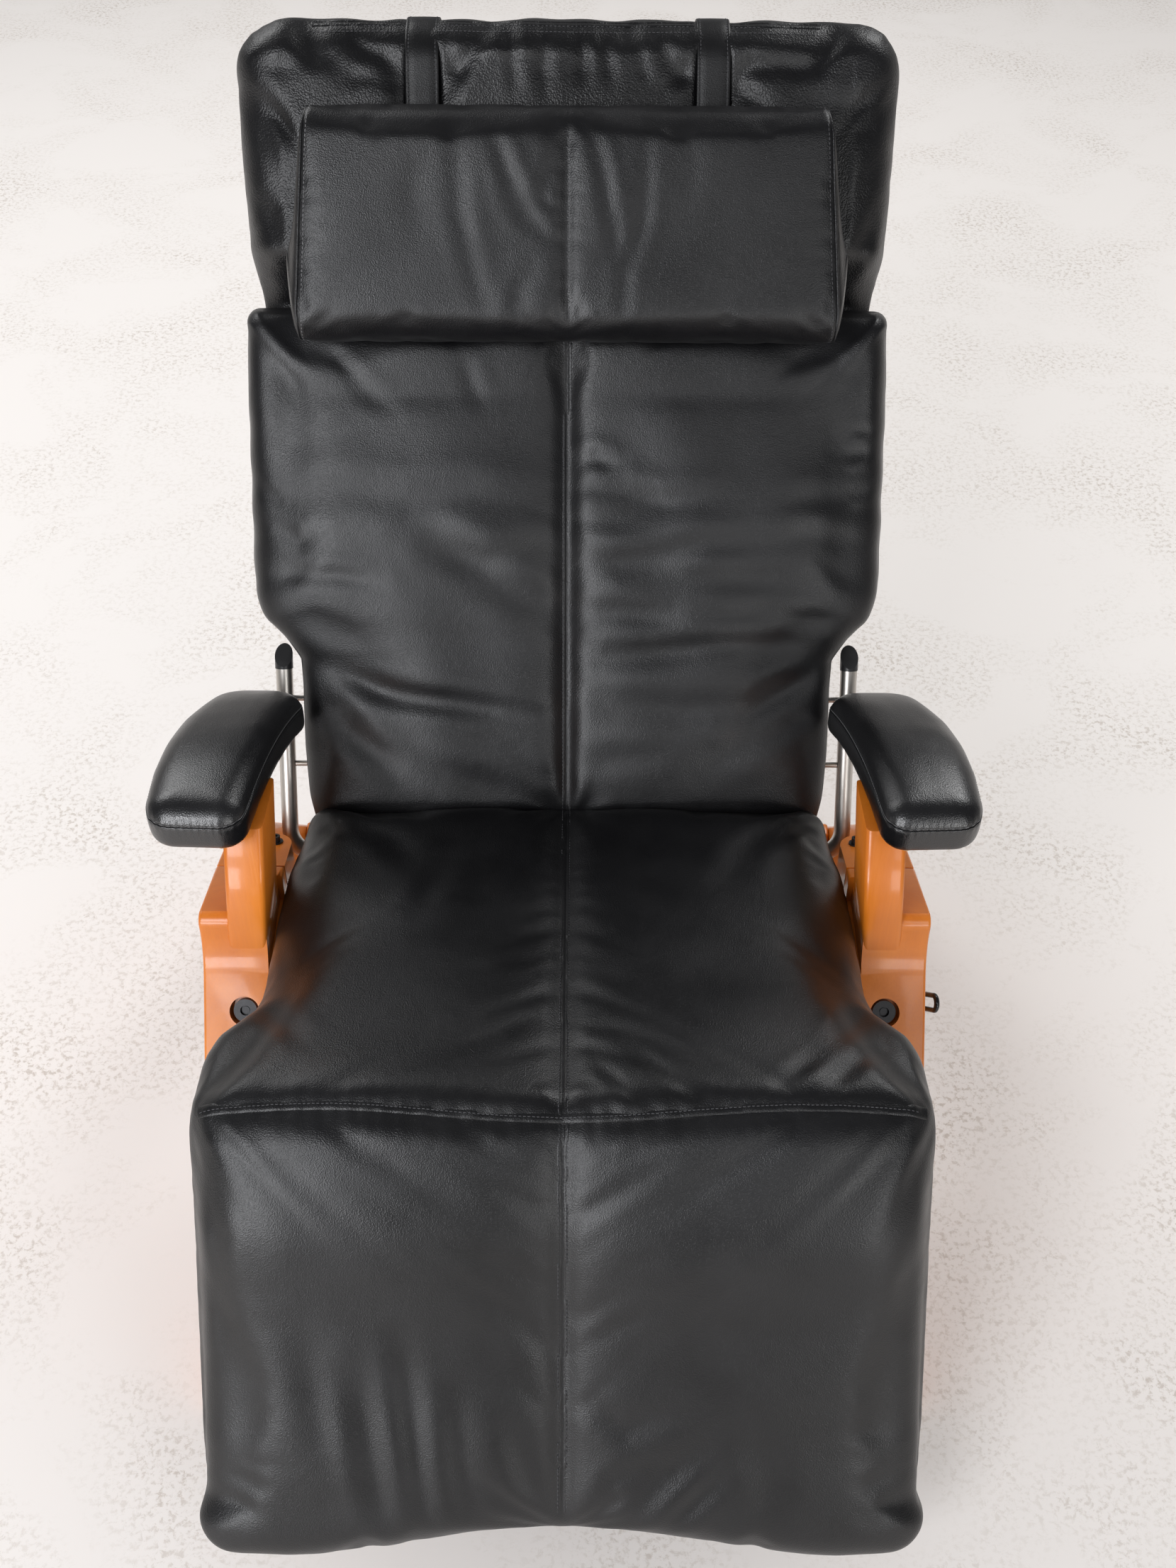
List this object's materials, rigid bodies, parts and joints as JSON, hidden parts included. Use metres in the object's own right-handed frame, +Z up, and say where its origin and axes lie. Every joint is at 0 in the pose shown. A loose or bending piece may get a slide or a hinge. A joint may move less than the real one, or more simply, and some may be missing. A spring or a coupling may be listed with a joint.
{
  "type": "zero gravity recliner",
  "caption": "Zero gravity recliner: one-piece tilting seat, back and leg rest with leather cushions, on a stained wooden base with padded arms and a sliding head pillow.",
  "frame": {"origin": "on the floor, under the middle of the whole chair", "axes": "+Z up, the sitter faces -Y, +X is the sitter's left"},
  "size_m": [0.8138, 1.1996, 1.1339],
  "materials": {
    "leather": "black full-grain leather, softly glossy",
    "strap_leather": "black strap leather, edge stitched",
    "backing_cloth": "black woven backing cloth",
    "webbing": "elastic upholstery webbing",
    "stained_wood": "orange-brown stained hardwood under satin lacquer",
    "plywood": "plain birch plywood",
    "stainless_steel": "polished stainless tube",
    "black_frame_paint": "black powder coat",
    "black_plastic": "moulded black plastic",
    "black_hardware": "black oxide",
    "lever_gloss": "glossy black",
    "bush_brass": "turned, dull",
    "zinc_steel": "zinc plated",
    "friction_lining": "pressed friction lining"
  },
  "bodies": {
    "base": {"left_front_leg": "stained_wood", "right_front_leg": "stained_wood", "left_rear_leg": "stained_wood", "right_rear_leg": "stained_wood", "left_inner_block": "stained_wood", "right_inner_block": "stained_wood", "left_arm_post": "stained_wood", "right_arm_post": "stained_wood", "left_arm_board": "plywood", "right_arm_board": "plywood", "left_arm_pad": "leather", "right_arm_pad": "leather", "arm_screws": "zinc_steel", "front_stretcher": "stained_wood", "rear_stretcher": "stained_wood", "stretcher_bolts": "black_hardware", "block_bolts": "black_hardware", "leg_bolts": "black_hardware", "floor_glides": "black_plastic", "left_pivot_bush": "bush_brass", "right_pivot_bush": "bush_brass", "lock_stud": "zinc_steel", "lock_spacer": "zinc_steel", "lock_disc": "friction_lining", "lock_nut": "zinc_steel"},
    "carriage": {"left_side_rail": "black_frame_paint", "right_side_rail": "black_frame_paint", "back_cross_tube": "black_frame_paint", "seat_cross_tube": "black_frame_paint", "knee_cross_tube": "black_frame_paint", "leg_cross_tube": "black_frame_paint", "left_back_tube": "stainless_steel", "right_back_tube": "stainless_steel", "lower_hoop": "stainless_steel", "back_rods": "stainless_steel", "tube_caps": "black_plastic", "left_pivot_plate": "black_frame_paint", "right_pivot_plate": "black_frame_paint", "left_pivot_pin": "zinc_steel", "right_pivot_pin": "zinc_steel", "lock_sector": "zinc_steel", "seat_webbing": "webbing", "leg_panel": "backing_cloth", "back_panel": "backing_cloth", "seat_pad": "leather", "leg_pad": "leather", "back_pad": "leather", "hood": "leather", "left_strap": "strap_leather", "right_strap": "strap_leather"},
    "lever": {"lock_lever": "lever_gloss"},
    "pillow": {"head_pillow": "leather"},
    "weight": {"counterweight": "leather"}
  },
  "joints": [
    {"name": "recline", "type": "hinge", "parent": "base", "child": "carriage", "pos_m": [0, -0.0153, 0.358], "axis": [-1, 0, 0], "range_deg": [0, 34]},
    {"name": "lock_lever_turn", "type": "hinge", "parent": "base", "child": "lever", "pos_m": [0.392, -0.0653, 0.298], "axis": [1, 0, 0], "range_deg": [0, 40]},
    {"name": "pillow_slide", "type": "slide", "parent": "carriage", "child": "pillow", "axis": [0, 0.503, 0.8643], "range_m": [-0.05, 0.045]},
    {"name": "weight_slide", "type": "slide", "parent": "carriage", "child": "weight", "axis": [0, 0.503, 0.8643], "range_m": [-0.05, 0.05]}
  ],
  "couplings": [
    {"joint": "weight_slide", "follows": "pillow_slide", "ratio": -1}
  ]
}
